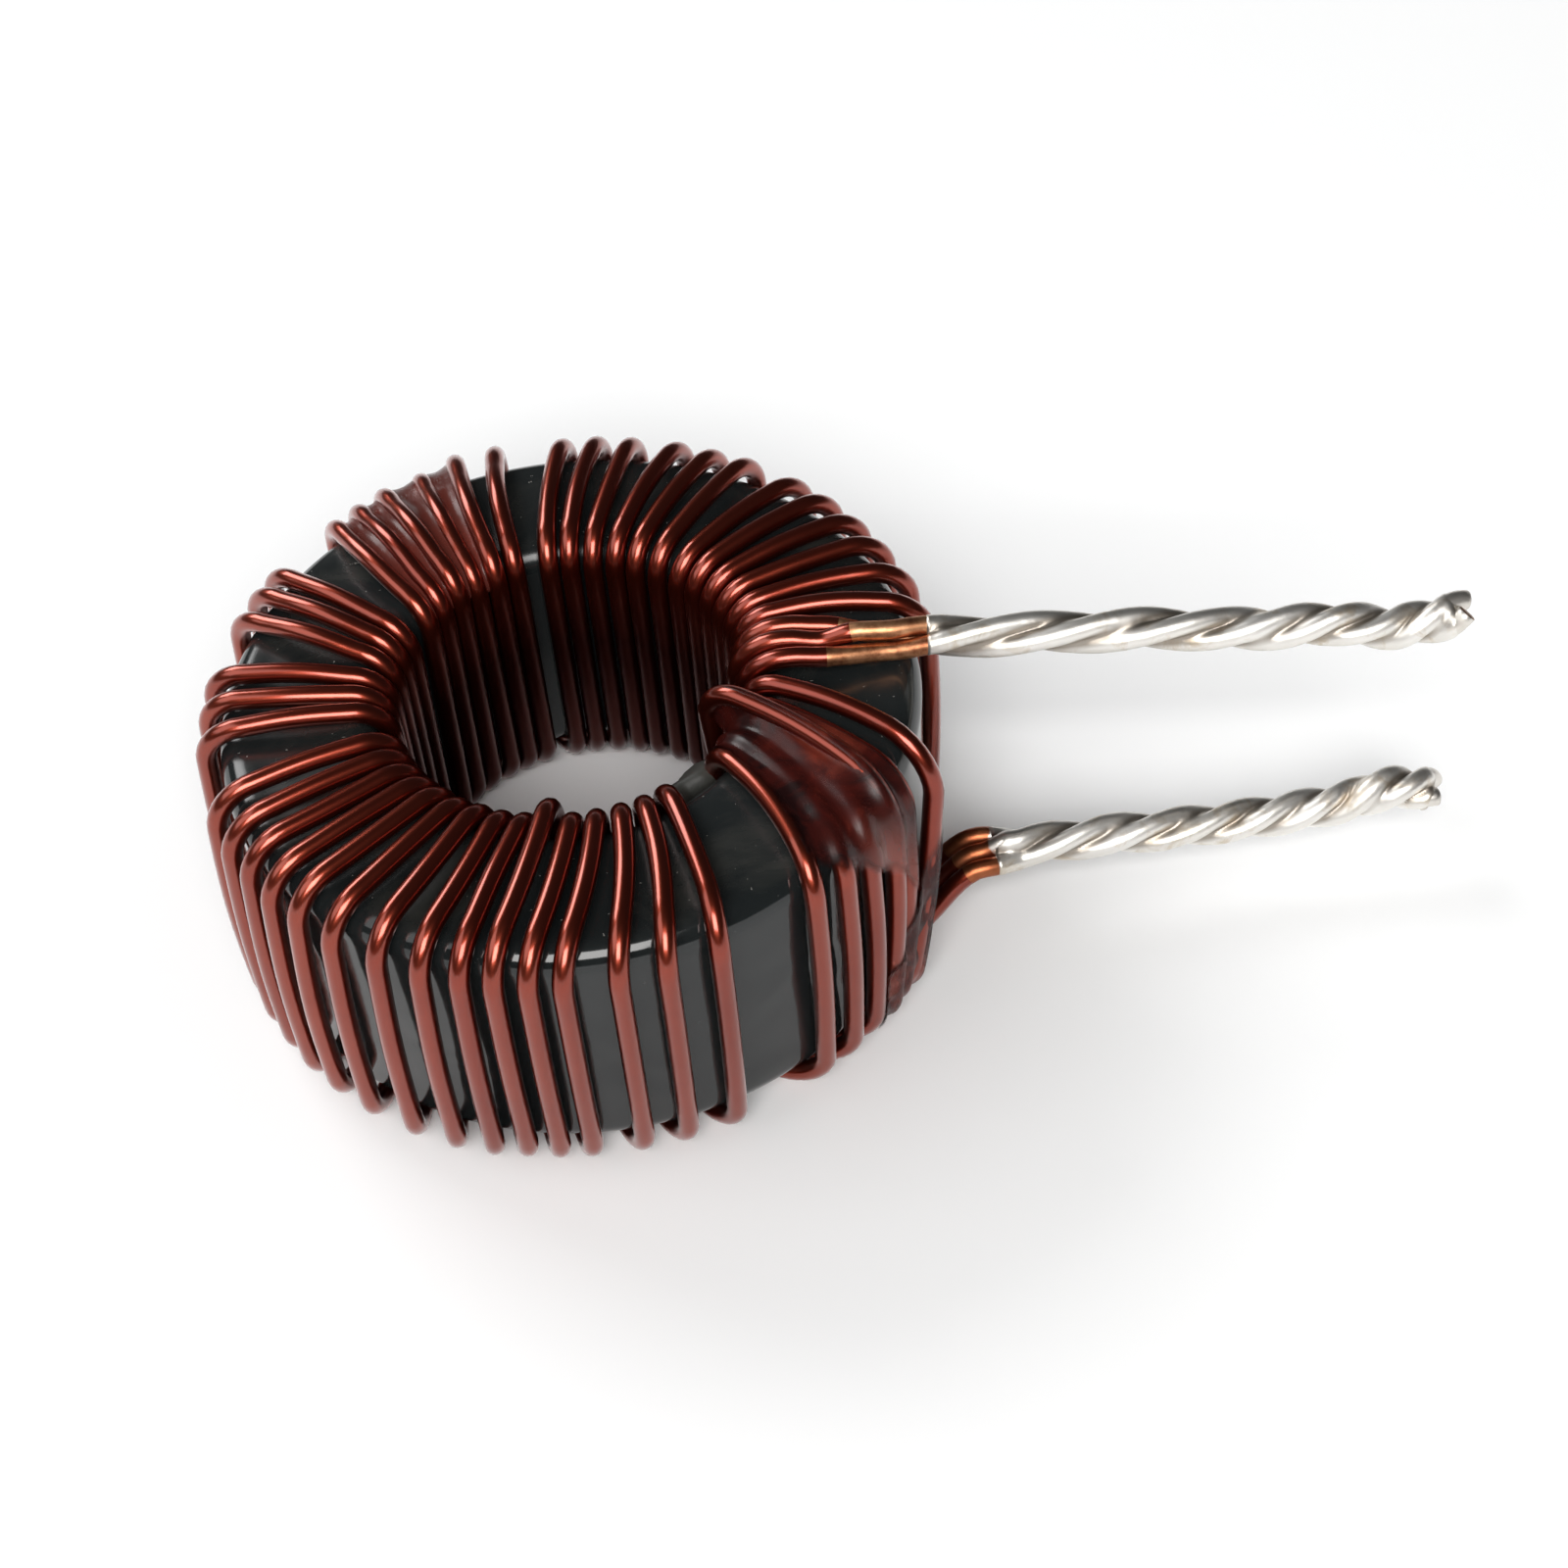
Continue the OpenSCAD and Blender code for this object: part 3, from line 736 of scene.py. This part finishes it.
def solder_material():
    m = Nodes("tin_solder")
    xyz = m.coords()
    slow = m.noise(xyz, 330.0, 3.0, 0.55)
    base = m.mix(slow, (0.80, 0.76, 0.69), (0.95, 0.94, 0.92))
    flux = m.ramp(m.noise(xyz, 620.0, 4.0, 0.65, 0.8), (0.52, 0.0), (0.68, 0.7))
    base = m.mix(flux, base, (0.60, 0.49, 0.35))
    # painted shade: the solder darkens in the grooves between the wires, where the skin lies low
    groove = m.ramp(m.attr("groove"), (0.60, 1.0), (0.74, 0.0))
    base = m.mix(m.math("MULTIPLY", groove, 0.75), base, (0.26, 0.21, 0.16))
    m.set(Base_Color=base, Metallic=1.0, Roughness=m.scaled(slow, 0.34, 0.52))
    grain = m.bump(m.noise(xyz, 2600.0, 4.0, 0.6), 0.25, 0.00002)
    m.set(Normal=m.bump(m.noise(xyz, 750.0), 0.75, 0.00007, Normal=grain))
    return m.mat


def lacquer_material():
    """Glossy black lacquer, dusty and filmed over on its top face."""
    m = Nodes("black_lacquer")
    xyz = m.coords()
    top = m.ramp(m.attr("facing"), (0.80, 0.0), (1.0, 1.0))
    slow = m.noise(xyz, 160.0, 3.0, 0.55)
    base = m.mix(slow, (0.008, 0.010, 0.011), (0.016, 0.019, 0.019))
    film = m.ramp(m.noise(xyz, 210.0, 5.0, 0.65, 0.6), (0.48, 0.0), (0.72, 1.0))
    base = m.mix(m.math("MULTIPLY", m.math("MULTIPLY", film, top), 0.35), base, (0.065, 0.062, 0.052))
    specks = m.ramp(m.noise(xyz, 5200.0, 2.0), (0.735, 0.0), (0.765, 1.0))
    base = m.mix(m.math("MULTIPLY", specks, m.scaled(top, 0.06, 0.5)), base, (0.42, 0.41, 0.38))
    dull = m.math("MULTIPLY", top, m.scaled(film, 0.13, 0.26))
    m.set(Base_Color=base, Metallic=0.0, Roughness=m.math("ADD", m.scaled(slow, 0.07, 0.12), dull), IOR=1.5)
    ripple = m.bump(m.noise(xyz, 240.0, 1.0, 0.4, 0.6), 0.5, 0.00025)
    m.set(Normal=m.bump(m.noise(xyz, 520.0, 2.0, 0.4), 0.15, 0.00008, Normal=ripple))
    return m.mat


def varnish_material():
    m = Nodes("brown_varnish")
    xyz = m.coords()
    blot = m.noise(xyz, 420.0, 4.0, 0.6, 0.8)
    base = m.ramp(blot, (0.38, (0.012, 0.003, 0.003)), (0.55, (0.055, 0.007, 0.005)),
                  (0.75, (0.20, 0.032, 0.018)))
    # 'low' turns the skin salmon red; near the foot of the skin at the mouth this is a painted reflection
    # of the floor
    base = m.mix(m.attr("low"), base, (0.26, 0.060, 0.042))
    m.set(Base_Color=base, Metallic=0.0, Roughness=m.scaled(m.noise(xyz, 400.0, 2.0), 0.20, 0.36), IOR=1.4)
    # the skin is thin in places and has a ragged edge
    rag = m.math("ADD", m.attr("edge"), m.scaled(m.noise(xyz, 900.0, 3.0, 0.6), -0.5, 0.2))
    cover, edge = m.ramp(blot, (0.40, 0.93), (0.75, 0.55)), m.ramp(rag, (0.0, 0.0), (0.5, 1.0))
    m.set(Alpha=m.math("MULTIPLY", cover, edge))
    m.set(Normal=m.bump(m.noise(xyz, 500.0, 2.0), 0.12, 0.00006))
    return m.mat


def adhesive_material():
    m = Nodes("black_adhesive")
    xyz = m.coords()
    film = m.noise(xyz, 300.0, 5.0, 0.65, 0.5)
    m.set(Base_Color=m.mix(film, (0.008, 0.009, 0.008), (0.050, 0.050, 0.042)), Metallic=0.0)
    m.set(Roughness=m.scaled(film, 0.42, 0.75), IOR=1.45)
    m.set(Normal=m.bump(m.noise(xyz, 420.0, 4.0, 0.6), 0.7, 0.00015))
    return m.mat


def floor_material():
    """White sweep. What the camera and reflections see of it is lifted to white; the shadow stays."""
    m = Nodes("white_sweep")
    m.set(Base_Color=(0.85, 0.86, 0.87, 1.0), Roughness=0.85, Specular_IOR_Level=0.1)
    path = m.node("ShaderNodeLightPath").outputs
    seen = m.math("MAXIMUM", path["Is Glossy Ray"], path["Is Transmission Ray"])
    seen = m.math("MAXIMUM", path["Is Camera Ray"], seen)
    # none of it under the object, where the floor lies in contact shadow
    place = m.node("ShaderNodeVectorMath", Vector=m.coords())
    place.operation = "LENGTH"
    away = place.outputs["Value"]
    near = m.math("MULTIPLY", m.ramp(m.math("MULTIPLY", away, 10.0), (0.10, 0.0), (0.34, 1.0)), 0.17)
    far = m.math("MULTIPLY", m.math("SUBTRACT", away, 0.25), 0.7, True)
    glow = m.node("ShaderNodeEmission", Color=(1.0, 1.0, 1.0, 1.0),
                  Strength=m.math("MULTIPLY", seen, m.math("ADD", near, far)))
    both = m.node("ShaderNodeAddShader")
    m.tree.links.new(m.bsdf.outputs[0], both.inputs[0])
    m.tree.links.new(glow.outputs[0], both.inputs[1])
    m.tree.links.new(both.outputs[0], m.out.inputs[0])
    return m.mat


# ---------------------------------------------------------------- the object
wire_materials = [enamel_material(), bare_material(), cut_material()]
solder, varnish = solder_material(), varnish_material()
core_mesh("core_ring", lacquer_material())
for wire in range(3):
    wire_mesh("wire_%d" % (wire + 1), wire_rings(wire), wire_materials, "strand_%d" % (wire + 1))
# each stretch of wire that varnish covers: wire, turn, from and to which height
varnish_mesh("varnish_skin", varnish,
             [(0, 14, 11.0), (1, 14, 10.3), (2, 14, 9.2), (0, 15, 7.0), (1, 15, 5.5)],
             lie=0.08, deep=0.20, red=0.0, fade=(0.16, 0.05), seed=11)
varnish_mesh("varnish_back", varnish,
             [(1, 5, 10.5), (2, 5, 9.8), (0, 6, 9.5), (1, 6, 10.2), (2, 6, 10.8)],
             lie=-0.16, deep=0.22, red=0.3, fade=(0.16, 0.05), seed=12)
varnish_mesh("varnish_foot", varnish,
             [(2, 14, 0.0, 3.0), (0, 15, 0.0, 4.6), (1, 15, 0.0, 6.5), (2, 15, 0.0, 9.2)],
             lie=0.10, deep=0.30, red=0.0, fade=(0.02, 0.30), seed=13)
adhesive_mesh("adhesive_lump", adhesive_material())
solder_mesh("solder_start", solder, START_LEAD, x0=4.1, x1=lead_axis(START_LEAD)[1] - 0.45,
            steps=190, seed=3)
solder_mesh("solder_finish", solder, FINISH_LEAD, x0=0.5, x1=lead_axis(FINISH_LEAD)[1] - 0.5,
            steps=160, seed=5)

# ---------------------------------------------------------------- floor, lights, surroundings
floor_marks = [FLOOR_HALF * (2 * i / FLOOR_CELLS - 1) for i in range(FLOOR_CELLS + 1)]
floor = new_piece("floor", [(x, y, 0.0) for y in floor_marks for x in floor_marks],
                  grid_faces(FLOOR_CELLS + 1, FLOOR_CELLS + 1), None, materials=[floor_material()])


def area_light(name, pos, target, size_x, size_y, power, colour=(1, 1, 1)):
    """Rectangular lamp at pos that faces target, in metres and watts."""
    data = bpy.data.lights.new(name, "AREA")
    data.shape = "RECTANGLE"
    data.size, data.size_y = size_x, size_y
    data.energy = power
    data.color = colour
    obj = bpy.data.objects.new(name, data)
    bpy.context.scene.collection.objects.link(obj)
    obj.location = pos
    obj.rotation_euler = (Vector(target) - Vector(pos)).to_track_quat("-Z", "Y").to_euler()


def studio_world(bands):
    """World that is grey by height alone, through (upward share of the view, grey) stops."""
    world = bpy.data.worlds.new("studio")
    bpy.context.scene.world = world
    world.use_nodes = True
    nodes, links = world.node_tree.nodes, world.node_tree.links
    nodes.clear()
    out = nodes.new("ShaderNodeOutputWorld")
    background = nodes.new("ShaderNodeBackground")
    coords = nodes.new("ShaderNodeTexCoord")
    split = nodes.new("ShaderNodeSeparateXYZ")
    ramp = nodes.new("ShaderNodeValToRGB")
    ramp.color_ramp.elements.new(0.5)
    for element, (position, grey) in zip(ramp.color_ramp.elements, bands):
        element.position = position
        element.color = (grey, grey, grey, 1.0)
    links.new(coords.outputs["Generated"], split.inputs[0])
    links.new(split.outputs["Z"], ramp.inputs["Fac"])
    links.new(ramp.outputs["Color"], background.inputs["Color"])
    links.new(background.outputs[0], out.inputs[0])


area_light("key", (-0.080, -0.540, 0.560), (0, 0, 0), 0.48, 0.40, 6.0, (1.0, 0.985, 0.965))
area_light("back_left", (-0.350, 0.475, 0.450), (0, 0, 0.01), 0.34, 0.30, 2.1)
area_light("soft_left", (-0.450, -0.050, 0.475), (0, 0, 0), 0.50, 0.45, 1.25)
# a pale band at the horizon and darkness above it
studio_world([(0.0, 0.98), (0.022, 0.60), (0.075, 0.03)])

# ---------------------------------------------------------------- camera
cam_data = bpy.data.cameras.new("camera")
cam = bpy.data.objects.new("camera", cam_data)
bpy.context.scene.collection.objects.link(cam)
cam_data.sensor_width, cam_data.lens = 36.0, 59.65875
cam_data.clip_start, cam_data.clip_end = 0.005, 10.0
turned = (Matrix.Rotation(math.radians(-6.45), 3, "Z") @ Matrix.Rotation(math.radians(-48.04), 3, "X")
          @ Matrix.Rotation(math.radians(4.79), 3, "Y"))
right, ahead, up = turned.col
place = Matrix.Translation((0, -0.06999, 0.08176 + CORE_Z * MM))
cam.matrix_world = place @ Matrix((right, up, -ahead)).transposed().to_4x4()
bpy.context.scene.camera = cam
bpy.context.scene.view_settings.view_transform = "Standard"
